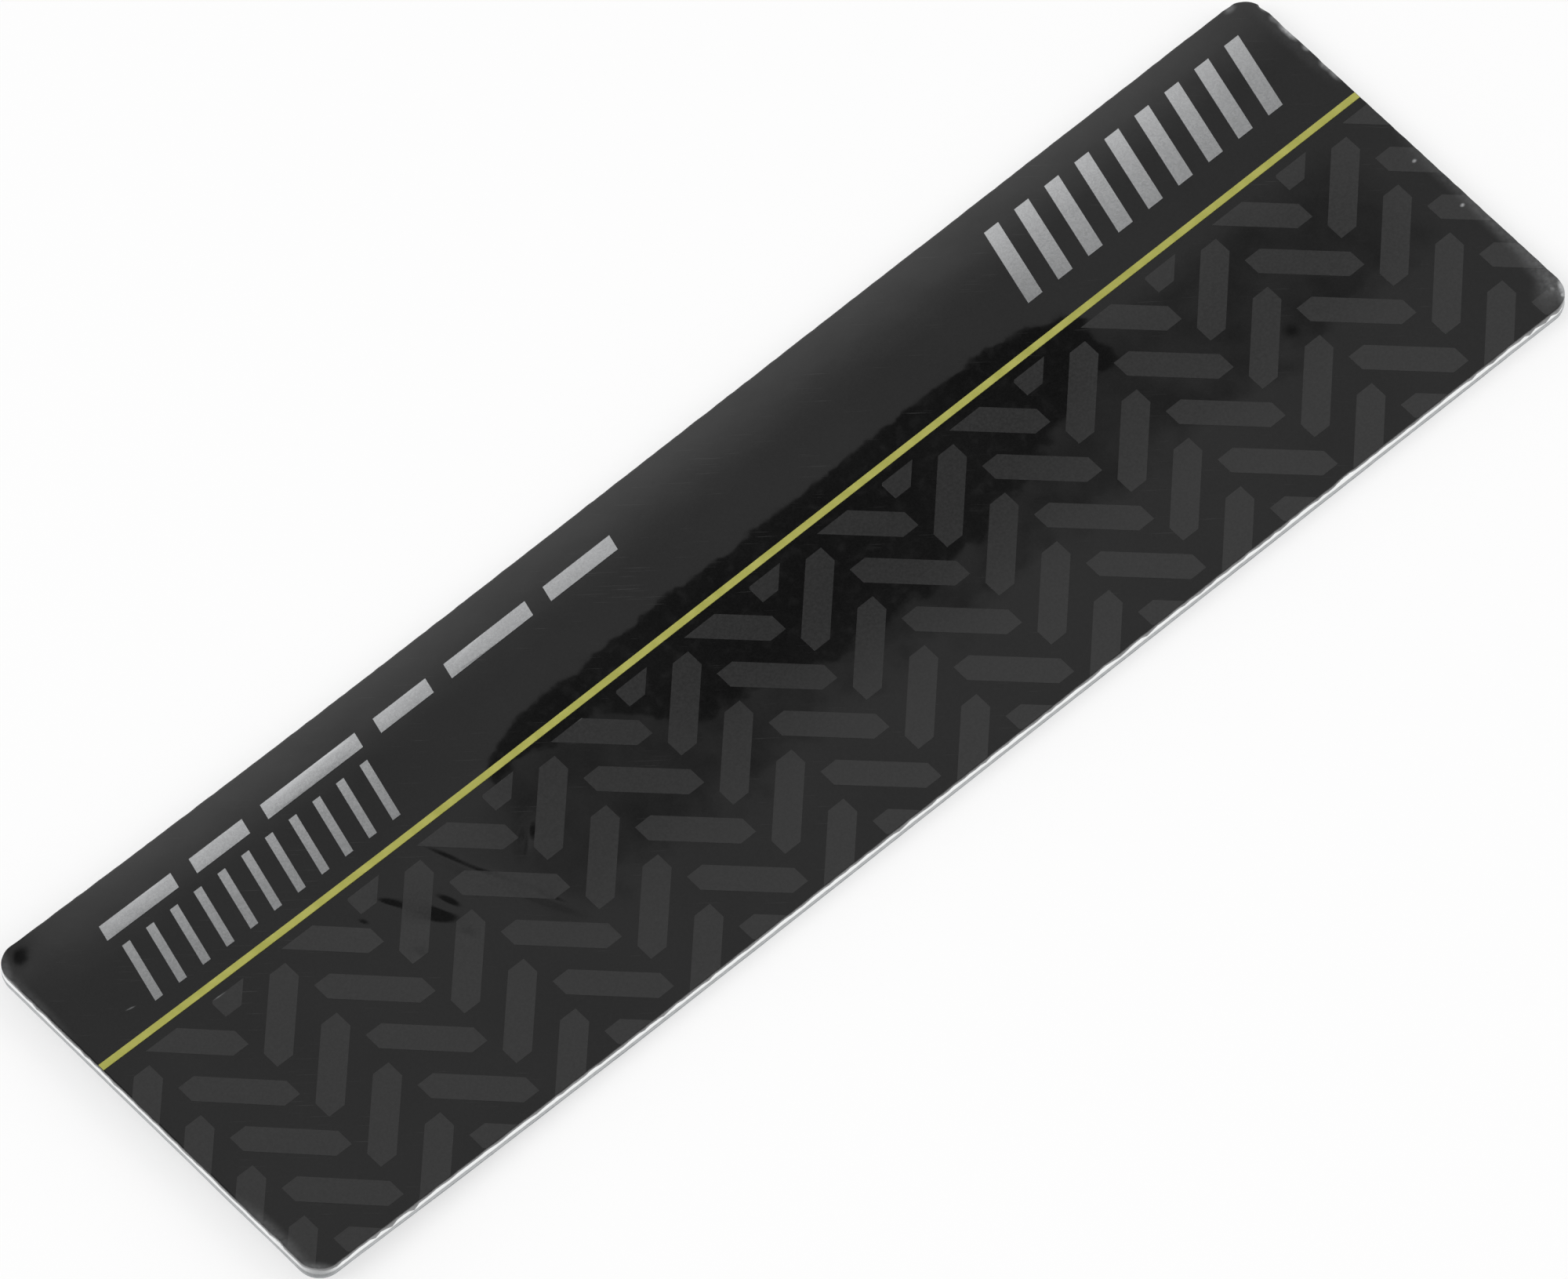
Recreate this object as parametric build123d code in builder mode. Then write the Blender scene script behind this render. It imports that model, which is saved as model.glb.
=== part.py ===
# Stick-on heat spreader plate for a plug-in solid state drive: a stamped aluminium blank with a
# printed black film on its face and an adhesive thermal pad below. One end is bent gently upwards.
# Millimetres. +X runs along the plate away from the bent end, +Y runs across it towards the plain
# printed margin, +Z points out of the printed face. The origin lies under the plate's middle, on
# the surface that the pad rests on.

import os
from math import asin, ceil, degrees, radians, tan

from build123d import *

# Stamped blank
plate_length = 70.0
plate_width = 20.3
plate_thickness = 0.6
corner_radius = 1.1
edge_draw = 0.12  # how far the punch drew the top edge in and down

# Bent end: a tangent arc that starts this far from the -X end and lifts that end by the rise
bend_length = 26.0
bend_rise = 0.65

# Thermal pad under the plate
pad_thickness = 0.2
pad_inset = 0.02

# Printed film on the face
film_thickness = 0.06
film_edge_radius = 0.05

# Inks, each one a raised layer on the film
ink_thickness = 0.03

# Stripe along the whole length
stripe_inset = 6.9  # from the +Y edge to the stripe's middle
stripe_width = 0.32

# Herringbone pattern between the stripe and the -Y edge
pattern_gap = 0.45  # between the stripe and the pattern
bar_length = 5.0  # from tip to tip
bar_width = 1.2
bar_slant = 45.0
column_pitch = 3.7
row_pitch = 3.2

# Silver hatching near the +X end
hatch_inset_x = 9.4  # from the +X end to the hatching's middle
hatch_inset_y = 3.25  # from the +Y edge to the hatching's middle
hatch_height = 3.8
hatch_stroke = 0.8
hatch_pitch = 1.7
hatch_strokes = 9

# Fine silver hatching near the bent end
fine_inset_x = 10.9  # from the -X end to the fine hatching's middle
fine_inset_y = 4.5  # from the +Y edge to the fine hatching's middle
fine_height = 2.9
fine_stroke = 0.42
fine_pitch = 1.3
fine_strokes = 11

# Row of silver dashes beside the +Y edge
dash_inset_x = 4.35  # from the -X end to the first dash
dash_inset_y = 2.1  # from the +Y edge to the dashes' middle
dash_height = 0.75
dash_gap = 1.0
dash_lengths = (3.9, 2.9, 5.2, 2.9, 4.5, 3.7)

# Lean of every silver mark from upright
mark_lean = 14.0

# Heights of the layers above the pad's underside, where the plate is level
plate_bottom = pad_thickness
plate_top = plate_bottom + plate_thickness
film_top = plate_top + film_thickness
ink_top = film_top + ink_thickness

# Places that follow from the sizes above
bend_start = bend_length - plate_length / 2
bend_radius = (bend_length**2 + bend_rise**2) / (2 * bend_rise)
bend_centre = (bend_start, bend_radius)
far_edge = plate_width / 2
stripe_y = far_edge - stripe_inset
print_length = plate_length - 2 * film_edge_radius
print_width = plate_width - 2 * film_edge_radius
print_corner = corner_radius - film_edge_radius

# Spare stock around each layer before its outline is cut out of it
stock = plate_width


def side_profile(bottom, top):
    # Side view of a layer between two heights: level, then an arc that leaves the level tangentially.
    sweep = degrees(asin((bend_length + stock) / bend_radius))
    arc_start = 270 - sweep  # 270 is straight down from the arc's centre, where the level begins
    level_end = plate_length / 2 + stock
    with BuildSketch(Plane.XZ) as profile:
        with BuildLine():
            under = CenterArc(bend_centre, bend_radius - bottom, arc_start, sweep)
            over = CenterArc(bend_centre, bend_radius - top, arc_start, sweep)
            Polyline(under @ 1, (level_end, bottom), (level_end, top), over @ 1)
            Line(under @ 0, over @ 0)
        make_face()
    return profile.sketch


def upper_rim(part):
    # Outer edges of the upper faces. The two lines where a level face runs into a bent one stay out.
    upper = part.faces().filter_by(lambda face: face.normal_at().Z > 0.5)
    across = part.edges().filter_by(Axis.Y)
    run_ins = across.sort_by(lambda edge: abs(edge.center().X - bend_start))[:2]
    return upper.edges() - run_ins


def pointed_bar(slant):
    # Bar with square tips, each tip a right angle.
    half = bar_length / 2
    tip = bar_width / 2
    lower = [(-half, 0), (tip - half, -tip), (half - tip, -tip)]
    upper = [(half, 0), (half - tip, tip), (tip - half, tip)]
    Polygon(lower + upper, rotation=slant)


def leaning_mark(length, height):
    # Parallelogram with level ends that leans towards +X.
    half = length / 2
    shift = height / 2 * tan(radians(mark_lean))
    lower = [(-half - shift, -height / 2), (half - shift, -height / 2)]
    upper = [(half + shift, height / 2), (shift - half, height / 2)]
    Polygon(lower + upper)


# Stamped blank with its drawn-in top edge
with BuildPart() as spreader_plate:
    extrude(side_profile(plate_bottom, plate_top), amount=stock, both=True)
    with BuildSketch() as blank_outline:
        RectangleRounded(plate_length, plate_width, corner_radius)
    extrude(amount=stock, mode=Mode.INTERSECT)
    chamfer(upper_rim(spreader_plate), edge_draw)

# Film over the face and down the drawn-in edge, with a rounded rim
with BuildPart() as face_film:
    extrude(side_profile(plate_top - edge_draw, film_top), amount=stock, both=True)
    with BuildSketch() as film_outline:
        RectangleRounded(plate_length, plate_width, corner_radius)
    extrude(amount=stock, mode=Mode.INTERSECT)
    fillet(upper_rim(face_film), film_edge_radius)
    add(spreader_plate.part, mode=Mode.SUBTRACT)

# Pad on the underside
with BuildPart() as thermal_pad:
    extrude(side_profile(0, pad_thickness), amount=stock, both=True)
    with BuildSketch() as pad_outline:
        RectangleRounded(plate_length - 2 * pad_inset, plate_width - 2 * pad_inset, corner_radius - pad_inset)
    extrude(amount=stock, mode=Mode.INTERSECT)

# Stripe
with BuildPart() as stripe_ink:
    extrude(side_profile(film_top, ink_top), amount=stock, both=True)
    with BuildSketch() as stripe_outline:
        with Locations((0, stripe_y)):
            Rectangle(print_length, stripe_width)
    extrude(amount=stock, mode=Mode.INTERSECT)

# Herringbone: columns of bars that lean one way and the other by turns, cut off at the print's outline
pattern_top = stripe_y - stripe_width / 2 - pattern_gap
pattern_width = pattern_top + print_width / 2
column_pairs = ceil(plate_length / (2 * column_pitch)) + 1
rows = ceil(pattern_width / row_pitch) + 1
with BuildPart() as pattern_ink:
    extrude(side_profile(film_top, ink_top), amount=stock, both=True)
    with BuildSketch() as pattern_outline:
        for side in (-1, 1):
            with Locations((side * column_pitch / 2, pattern_top - pattern_width / 2 + side * row_pitch / 4)):
                with GridLocations(2 * column_pitch, row_pitch, column_pairs, rows):
                    pointed_bar(side * bar_slant)
        with Locations((0, pattern_top - pattern_width / 2)):
            Rectangle(print_length, pattern_width, mode=Mode.INTERSECT)
        RectangleRounded(print_length, print_width, print_corner, mode=Mode.INTERSECT)
    extrude(amount=stock, mode=Mode.INTERSECT)

# Silver marks: two blocks of hatching and a row of dashes
with BuildPart() as mark_ink:
    extrude(side_profile(film_top, ink_top), amount=stock, both=True)
    with BuildSketch() as mark_outline:
        with Locations((plate_length / 2 - hatch_inset_x, far_edge - hatch_inset_y)):
            with GridLocations(hatch_pitch, hatch_height, hatch_strokes, 1):
                leaning_mark(hatch_stroke, hatch_height)
        with Locations((fine_inset_x - plate_length / 2, far_edge - fine_inset_y)):
            with GridLocations(fine_pitch, fine_height, fine_strokes, 1):
                leaning_mark(fine_stroke, fine_height)
        dash_start = dash_inset_x - plate_length / 2
        for dash_length in dash_lengths:
            with Locations((dash_start + dash_length / 2, far_edge - dash_inset_y)):
                leaning_mark(dash_length, dash_height)
            dash_start += dash_length + dash_gap
    extrude(amount=stock, mode=Mode.INTERSECT)

pieces = {
    "spreader_plate": spreader_plate,
    "face_film": face_film,
    "thermal_pad": thermal_pad,
    "stripe_ink": stripe_ink,
    "pattern_ink": pattern_ink,
    "mark_ink": mark_ink,
}
os.makedirs("parts", exist_ok=True)
for name, piece in pieces.items():
    piece.part.label = name
    export_step(piece.part, f"parts/{name}.step")
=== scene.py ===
# Printed heat spreader plate: worn gloss film over a blanked aluminium sheet on a soft thermal pad
from math import cos, pi, radians, sin

import bmesh
import bpy
import numpy as np
from mathutils import Matrix, Vector


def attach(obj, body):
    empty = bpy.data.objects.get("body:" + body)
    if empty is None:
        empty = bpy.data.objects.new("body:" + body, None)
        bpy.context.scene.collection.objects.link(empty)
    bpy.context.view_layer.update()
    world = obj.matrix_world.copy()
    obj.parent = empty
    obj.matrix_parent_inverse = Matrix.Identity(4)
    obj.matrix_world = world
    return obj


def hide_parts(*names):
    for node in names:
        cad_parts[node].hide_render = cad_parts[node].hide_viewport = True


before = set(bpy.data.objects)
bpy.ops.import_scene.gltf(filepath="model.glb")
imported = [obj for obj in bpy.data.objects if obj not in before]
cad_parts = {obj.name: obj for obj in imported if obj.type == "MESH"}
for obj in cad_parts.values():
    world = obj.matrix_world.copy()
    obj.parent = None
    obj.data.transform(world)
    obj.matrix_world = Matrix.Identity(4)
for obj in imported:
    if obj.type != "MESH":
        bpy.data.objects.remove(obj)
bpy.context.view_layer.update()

mm = 0.001  # sizes here are in millimetres, Blender's and the frame's in metres
hairline = 1e-3  # lengths closer than this are the same


# Sizes read from the frame

def meshPoints(mesh):  # corners of a mesh in millimetres
    flat = np.empty(3 * len(mesh.vertices), np.float32)
    mesh.vertices.foreach_get("co", flat)
    return flat.reshape(-1, 3).astype(float) / mm


def nodePoints(name):
    return meshPoints(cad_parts[name].data)


def levelHeights(name):  # lowest and highest point of a layer where the plate is level
    points = nodePoints(name)
    level = points[points[:, 0] > bendStart + hairline, 2]
    return level.min(), level.max()


padPoints = nodePoints("thermal_pad")
bendStart = padPoints[padPoints[:, 2] < hairline, 0].min()  # the pad leaves the floor here
padEnd = padPoints[:, 0].min()
endLift = padPoints[padPoints[:, 0] < padEnd + hairline, 2].min()
bendRadius = ((bendStart - padEnd) ** 2 + endLift**2) / (2 * endLift)

platePoints = nodePoints("spreader_plate")
halfLength = platePoints[:, 0].max()
halfWidth = platePoints[:, 1].max()
endEdge = platePoints[platePoints[:, 0] > halfLength - hairline]
cornerRadius = halfWidth - endEdge[:, 1].max()
cornerX = halfLength - cornerRadius  # middle of a corner's arc
cornerY = halfWidth - cornerRadius
padInset = halfLength - padPoints[:, 0].max()

padTop = levelHeights("thermal_pad")[1]
plateTop = levelHeights("spreader_plate")[1]
filmLow, filmTop = levelHeights("face_film")
drawnEdge = plateTop - filmLow  # how far the punch drew the sheet's top edge down
print("frame read: bend starts at", round(bendStart, 2), "mm, film top at", round(filmTop, 3), "mm")


# Shapes shared by the film, the sheet and the pad

ringInset = 0.6  # the rings across both faces begin this far inside the outline
hiddenRows = np.linspace(0, 1, 3)  # rings across a face that another layer covers, as shares of the way in
sharpTurn = 40.0  # degrees, past which the edge between two faces is sharp


def bendHeight(x, height):
    # z = R - sqrt((R - h)^2 - s^2): level, then arcs about one centre, s being how far x is past the start
    past = np.clip(bendStart - x, 0, None)
    return bendRadius - np.sqrt((bendRadius - height) ** 2 - past**2)


def evenStops(reach, step):
    return np.linspace(-reach, reach, int(round(2 * reach / step)) + 1)


def outlinePath(xStops, yStops, arcSteps):
    # Rounded rectangle: a centre runs round an inner rectangle, and a normal turns a quarter at each corner
    turn = np.linspace(0, pi / 2, arcSteps + 1)[1:-1]
    sideX, stillX = np.full_like(yStops, cornerX), np.full_like(turn, cornerX)
    sideY, stillY = np.full_like(xStops, cornerY), np.full_like(turn, cornerY)
    x = [sideX, stillX, xStops[::-1], -stillX, -sideX, -stillX, xStops, stillX]
    y = [yStops, stillY, sideY, stillY, yStops[::-1], -stillY, -sideY, -stillY]
    angle = [0 * yStops, turn, 0 * xStops + pi / 2, turn + pi / 2]
    angle += [0 * yStops + pi, turn + pi, 0 * xStops + 1.5 * pi, turn + 1.5 * pi]
    angle = np.concatenate(angle)
    centre = np.stack([np.concatenate(x), np.concatenate(y)], axis=-1)
    return centre, np.stack([np.cos(angle), np.sin(angle)], axis=-1)


def evenPath(step, arcSteps):
    return outlinePath(evenStops(cornerX, step), evenStops(cornerY, step), arcSteps)


def ringAt(path, inset):  # the outline moved inwards by an inset, one for all or one for each point
    centre, normal = path
    return centre + normal * (cornerRadius - np.broadcast_to(inset, len(centre)))[:, None]


def inwardRings(path, shares):
    # From the ring at the inset straight to the middle line: ring * (1 - share) + middle * share
    ring = ringAt(path, ringInset)
    middle = ring * [1, 0]
    reach = halfLength - halfWidth
    middle[:, 0] = np.clip(middle[:, 0], -reach, reach)
    return ring + np.asarray(shares)[:, None, None] * (middle - ring)


def allRings(path, underShares, insets, topShares):
    # From the middle of the underside outwards, up the edge and back to the middle of the face
    edge = np.stack([ringAt(path, inset) for inset in insets])
    return np.concatenate([inwardRings(path, underShares), edge, inwardRings(path, topShares)])


def allRows(underShares, edgeRows, topShares, underValue, topValue):
    # A value for each point of those rings: one for the underside, rows of them up the edge, one for the face
    around = len(edgeRows[0])
    under = np.full((len(underShares), around), underValue)
    top = np.full((len(topShares), around), topValue)
    return np.concatenate([under, np.stack(edgeRows), top])


def alongPath(path):  # distance along the outline to each of its points
    ring = ringAt(path, 0)
    return np.concatenate([[0], np.linalg.norm(np.diff(ring, axis=0), axis=1).cumsum()])


def raggedLine(along, spacing, seed, least, most):
    # Random values from the least to the most at even spacing, joined by straight lines
    knots = np.arange(0, along[-1] + 2 * spacing, spacing)
    values = np.random.default_rng(seed).random(len(knots))
    values[-2:] = values[0]  # the outline closes on itself
    return least + (most - least) * np.interp(along, knots, values)


def closedBody(name, flat, height, material, slot, **attributes):
    # Rings joined by four-sided faces, with each point's height carried along the bend
    rows, around = height.shape
    points = np.concatenate([flat, bendHeight(flat[..., 0], height)[..., None]], axis=-1)
    index = np.arange(rows * around).reshape(rows, around)
    following = np.roll(index, -1, axis=1)
    faces = np.stack([index[:-1], following[:-1], following[1:], index[1:]], axis=-1)
    mesh = bpy.data.meshes.new(name)
    mesh.from_pydata(points.reshape(-1, 3) * mm, [], faces.reshape(-1, 4).tolist())
    for key, values in attributes.items():
        mesh.attributes.new(key, "FLOAT", "POINT").data.foreach_set("value", values.ravel())
    return finishPiece(name, mesh, material)


def finishPiece(name, mesh, material):
    work = bmesh.new()
    work.from_mesh(mesh)
    bmesh.ops.remove_doubles(work, verts=work.verts, dist=hairline * mm)  # closes middle lines and poles
    work.to_mesh(mesh)
    work.free()
    mesh.shade_smooth()
    mesh.set_sharp_from_angle(angle=radians(sharpTurn))
    mesh.materials.append(material)
    piece = bpy.data.objects.new(name, mesh)
    bpy.context.scene.collection.objects.link(piece)
    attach(piece, "root")
    print("piece", name, len(mesh.polygons), "faces")
    return piece


# Nodes and colours

noiseSpan = (0.3, 0.7)  # a noise texture is nearly all between these
cloudSpan = (0.35, 0.65)  # and these leave its lows and highs flat
waveTurn = 20.0  # radians that a wave texture of scale 1 turns through in a metre
plasticIor = 1.5  # polyester, and the binder in the inks
spotReach = 1.5  # half-lengths from a spot's middle to where it ends
smooth = {"interpolation_type": "SMOOTHSTEP"}


def linear(hexColour):  # sRGB hex to linear RGBA
    srgb = np.array([int(hexColour[k:k + 2], 16) for k in (1, 3, 5)]) / 255
    rgb = np.where(srgb <= 0.04045, srgb / 12.92, ((srgb + 0.055) / 1.055) ** 2.4)
    return (*rgb, 1.0)


white = linear("#FFFFFF")


def perSize(size):  # texture scale that makes a feature this many millimetres wide
    return 1 / (size * mm)


def addNode(tree, kind, inputs=(), **settings):
    # Inputs are a list in the node's own order, or a dictionary by name or number. A Map Range takes its
    # value, the range that this comes in and the range that it goes to. A colour Mix takes its colours at
    # 6 and 7, and gives its result at 2
    node = tree.nodes.new("ShaderNode" + kind)
    for name, value in settings.items():
        setattr(node, name, value)
    for socket, value in inputs.items() if isinstance(inputs, dict) else enumerate(inputs):
        if isinstance(value, bpy.types.Node):
            value = value.outputs[0]
        if isinstance(value, bpy.types.NodeSocket):
            tree.links.new(value, node.inputs[socket])
        else:
            node.inputs[socket].default_value = value
    return node


def newMaterial(name):
    material = bpy.data.materials.new(name)
    material.use_nodes = True
    material.node_tree.nodes.clear()
    return material, material.node_tree


def spots(tree, place, marks):
    # Sum of soft oval spots: each falls smoothly from its amount in the middle to 0 at the reach
    total = None
    for x, y, turn, halfLong, halfWide, amount in marks:
        local = addNode(tree, "Mapping", {
            "Vector": place, "Location": (x * mm, y * mm, 0), "Rotation": (0, 0, radians(turn)),
            "Scale": (halfLong * mm, halfWide * mm, 1),  # a metre upright, so that height hardly counts
        }, vector_type="TEXTURE")
        away = addNode(tree, "VectorMath", [local], operation="LENGTH").outputs["Value"]
        spot = addNode(tree, "MapRange", [away, 0.0, spotReach, amount, 0.0], **smooth)
        total = addNode(tree, "Math", [total, spot], operation="ADD") if total else spot
    return total


# Film

film = {
    "step": 0.3,  # between points along the film's edge
    "fineStep": 0.08,  # and where the dents are
    "fineSpan": (-23.0, -13.0),
    "rowStep": 0.15,  # between rings across the face
    "arcSteps": 16,  # in each corner
    "rimRadius": 0.03,
    "rimRows": 7,
    "marginShares": (0.1, 0.2, 0.35, 0.5, 0.7, 0.85),  # rings between the rim and those across the face
    "overhang": 0.02,  # past the sheet's wall
    "drawnMargin": 0.03,  # from the sheet's drawn edge to where the underside is level
    "chipMargin": 0.01,  # least width of the film's edge where it is chipped
    "ragged": (0.3, 3, 0.0, 0.022),  # depth of the cut edge: spacing, seed, least and most
    "chips": [  # where the film's edge is broken out: x, y, half length, depth
        (35.0, 9.14, 0.18, 0.07), (35.0, 7.6, 0.4, 0.02), (35.0, 5.2, 0.3, 0.02), (33.9, 10.15, 0.25, 0.02),
        (-35.0, -7.6, 0.3, 0.04), (8.5, -10.15, 0.3, 0.03), (22.0, -10.15, 0.4, 0.03),
    ],
    "bite": (0.15, 4, 0.6, 1.4),  # share of a chip's depth: the same four values
    "foot": (0.35, 6, 0.0, 1.0),  # share of the foot's drop, before it is squared: the same four
    "footDrop": 0.15,  # how far the film's ragged foot hangs down the wall
    "footGap": 0.004,  # from the wall
    "tags": [  # where it hangs further: x, y, half length, drop
        (34.15, -10.15, 0.35, 0.24), (33.33, -10.15, 0.16, 0.26), (32.41, -10.15, 0.24, 0.24),
        (31.72, -10.15, 0.22, 0.2), (30.6, -10.15, 0.2, 0.14), (10.9, -10.15, 0.3, 0.1),
        (-29.5, -10.15, 0.3, 0.2), (-30.85, -10.15, 0.3, 0.22), (-31.6, -10.15, 0.25, 0.24),
        (-33.6, -10.15, 0.3, 0.12),
    ],
    "pale": (0.7, 5, 0.05, 0.15),  # how pale the side is at the rim, where the print fades out: the same four
    "footPale": 0.15,  # added at the foot
    "dents": [  # pressed-in places: x, y, turn, half length, half width, depth
        (-17.85, 1.5, -68.0, 1.3, 0.22, 0.0085), (-17.0, -0.56, -63.0, 1.2, 0.22, 0.0085),
        (-16.0, -2.76, -66.0, 1.3, 0.22, 0.008), (-14.6, -0.1, 38.0, 0.75, 0.3, 0.019),
        (-20.16, -0.56, -40.0, 0.9, 0.5, 0.02), (-21.3, 0.2, -50.0, 1.8, 1.5, 0.03),
        (-21.72, -1.27, -50.0, 0.4, 0.3, 0.014), (-19.62, -1.9, -45.0, 0.35, 0.25, 0.012),
        (-22.5, 1.32, -50.0, 0.45, 0.28, 0.014), (-21.05, 1.35, -55.0, 0.6, 0.2, 0.0085),
        (-19.15, -0.25, -66.0, 0.55, 0.22, 0.0085), (-17.75, -0.75, -40.0, 0.3, 0.25, 0.007),
        (-34.5, 9.4, 20.0, 0.9, 0.48, 0.031),
    ],
    "peelWidth": 2.6,  # waves in the film, seen where a reflection's edge wanders
    "fineWidth": 0.7,
    "peelDepth": 0.006,
    "fineShare": 0.12,
    "black": "#101010",
    "scratched": "#3C3C3C",
    "worn": "#A4A5A6",
    "bareRim": "#E6E7E8",
    "roughness": (0.025, 0.15),  # of the clear face and in its scratches
    "rubbedRough": 0.45,  # added where it is rubbed
    "rimRough": 0.4,  # and at the rim
    "specular": 0.5,  # and none on a speck
    "cloudWidth": 7.0,
    "haze": 0.06,  # share of the scratched grey in the clouds
    "grainWidth": 0.09,  # true grain is finer, drawn as coarse as it needs to show
    "grain": 0.07,  # share of that grey in the grain
    "scratchLength": 2.4,
    "scratchWidth": 0.06,
    "scratchTurn": -40.0,
    "hairSpan": (0.68, 0.78),  # only the noise's peaks are scratches
    "hairs": 0.5,  # share of that grey in a scratch
    "scuffs": [  # places with more scratches: x, y, turn, half length, half width, amount
        (-3.8, 6.3, 90.0, 1.7, 1.3, 0.1), (3.0, 8.5, 0.0, 5.0, 1.0, 0.05), (-27.0, 4.0, 0.0, 5.0, 3.0, 0.04),
        (-30.0, -4.0, 0.0, 3.0, 3.0, 0.04),
    ],
    "specks": [(25.1, -3.42, 0.0, 0.38, 0.36, 1.0)],  # dull black dirt: the same six values
    "fleckWidth": 0.2,
    "fleckShare": (0.6, 1.2),  # flecks weaken or strengthen a rubbed place by these
    "rubs": [  # places rubbed grey: x, y, turn, half length, half width, amount
        (34.85, -9.75, 45.0, 0.8, 0.32, 0.4), (34.3, -9.2, 45.0, 0.9, 0.6, 0.1),
        (34.75, -8.7, 90.0, 1.5, 0.5, 0.16), (34.9, -6.0, 90.0, 2.4, 0.4, 0.13),
        (35.0, -2.5, 90.0, 3.0, 0.4, 0.09), (34.82, -9.52, 63.0, 0.45, 0.15, 1.0),
        (34.46, -9.29, 0.0, 0.1, 0.1, 0.3), (34.95, 9.15, 90.0, 0.25, 0.12, 0.5),
        (34.93, 8.4, 90.0, 0.22, 0.16, 0.4), (34.95, 7.55, 90.0, 0.55, 0.17, 1.0),
        (34.98, 6.43, 90.0, 0.22, 0.15, 0.5), (34.95, 5.25, 90.0, 0.28, 0.17, 0.5),
        (34.93, 4.65, 90.0, 0.38, 0.14, 0.4), (33.9, 10.0, 0.0, 0.28, 0.17, 0.3),
        (34.8, 7.0, 90.0, 2.6, 0.4, 0.05), (-34.8, 9.6, 60.0, 0.9, 0.32, 0.16),
        (-34.95, 7.6, 90.0, 2.2, 0.3, 0.07), (-34.8, -9.85, -45.0, 0.9, 0.35, 0.35),
        (-34.95, -7.5, 90.0, 2.0, 0.4, 0.16), (34.5, -3.73, 0.0, 0.1, 0.08, 1.0),
        (34.6, -9.79, 0.0, 0.09, 0.08, 1.4), (34.5, -0.77, 0.0, 0.1, 0.08, 0.9),
        (-32.16, 4.61, -12.0, 0.2, 0.035, 0.3), (-29.07, 2.63, -2.0, 0.3, 0.03, 0.3),
    ],
}


def filmNormal(tree, place):  # shallow waves of a film stuck on by hand, the same under the inks
    wide = addNode(tree, "TexNoise", {"Vector": place, "Scale": perSize(film["peelWidth"]), "Detail": 1.0})
    fine = addNode(tree, "TexNoise", {"Vector": place, "Scale": perSize(film["fineWidth"]), "Detail": 1.0})
    both = addNode(tree, "Math", [fine, film["fineShare"], wide], operation="MULTIPLY_ADD")
    return addNode(tree, "Bump", {"Strength": 1.0, "Distance": film["peelDepth"] * mm, "Height": both})


def rubbedShare(tree, place):  # 0 where the face is whole, up to 1 where it is rubbed through
    flecks = addNode(tree, "TexNoise", {"Vector": place, "Scale": perSize(film["fleckWidth"]), "Detail": 3.0})
    patchy = addNode(tree, "MapRange", [flecks, *noiseSpan, *film["fleckShare"]])
    rub = addNode(tree, "Math", [spots(tree, place, film["rubs"]), patchy], operation="MULTIPLY")
    return addNode(tree, "Clamp", [rub])


def filmMaterial():
    # Gloss polyester film, printed black from behind: near black, with a clear mirror gloss that shows
    # the light around it, hair scratches, and grey scuffs where the edge was rubbed
    material, tree = newMaterial("gloss_polyester_film")
    place = addNode(tree, "TexCoord").outputs["Object"]
    black, scratched = linear(film["black"]), linear(film["scratched"])
    worn, bareRim = linear(film["worn"]), linear(film["bareRim"])
    cloud = addNode(tree, "TexNoise", {"Vector": place, "Scale": perSize(film["cloudWidth"]), "Detail": 2.0})
    grain = addNode(tree, "TexNoise", {"Vector": place, "Scale": perSize(film["grainWidth"]), "Detail": 3.0})
    haze = addNode(tree, "MapRange", [cloud, *cloudSpan, 0.0, film["haze"]])
    tone = addNode(tree, "MapRange", [grain, *noiseSpan, 0.0, film["grain"]])
    tone = addNode(tree, "Math", [haze, tone], operation="ADD")
    base = addNode(tree, "Mix", {0: tone, 6: black, 7: scratched}, data_type="RGBA").outputs[2]

    turned = addNode(tree, "Mapping", {
        "Vector": place, "Rotation": (0, 0, radians(film["scratchTurn"])),
        "Scale": (film["scratchLength"] * mm, film["scratchWidth"] * mm, 1),
    }, vector_type="TEXTURE")
    streaks = addNode(tree, "TexNoise", {"Vector": turned, "Scale": 1.0, "Detail": 2.0})
    streaks = addNode(tree, "Math", [streaks, spots(tree, place, film["scuffs"])], operation="ADD")
    hairs = addNode(tree, "MapRange", [streaks, *film["hairSpan"], 0.0, film["hairs"]])
    base = addNode(tree, "Mix", {0: hairs, 6: base, 7: scratched}, data_type="RGBA").outputs[2]

    rubbed = rubbedShare(tree, place)
    base = addNode(tree, "Mix", {0: rubbed, 6: base, 7: worn}, data_type="RGBA").outputs[2]
    rim = addNode(tree, "Attribute", attribute_name="rim").outputs["Fac"]  # the print ends at the trimmed rim
    base = addNode(tree, "Mix", {0: rim, 6: base, 7: bareRim}, data_type="RGBA").outputs[2]
    rough = addNode(tree, "MapRange", [hairs, 0.0, film["hairs"], *film["roughness"]])
    rough = addNode(tree, "Math", [rubbed, film["rubbedRough"], rough], operation="MULTIPLY_ADD")
    rough = addNode(tree, "Math", [rim, film["rimRough"], rough], operation="MULTIPLY_ADD")
    speck = spots(tree, place, film["specks"])
    gloss = addNode(tree, "MapRange", [speck, 0.0, 1.0, film["specular"], 0.0])
    shader = addNode(tree, "BsdfPrincipled", {
        "Base Color": base, "Roughness": rough, "IOR": plasticIor, "Specular IOR Level": gloss,
        "Normal": filmNormal(tree, place),
    })
    addNode(tree, "OutputMaterial", {"Surface": shader})
    return material


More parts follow.
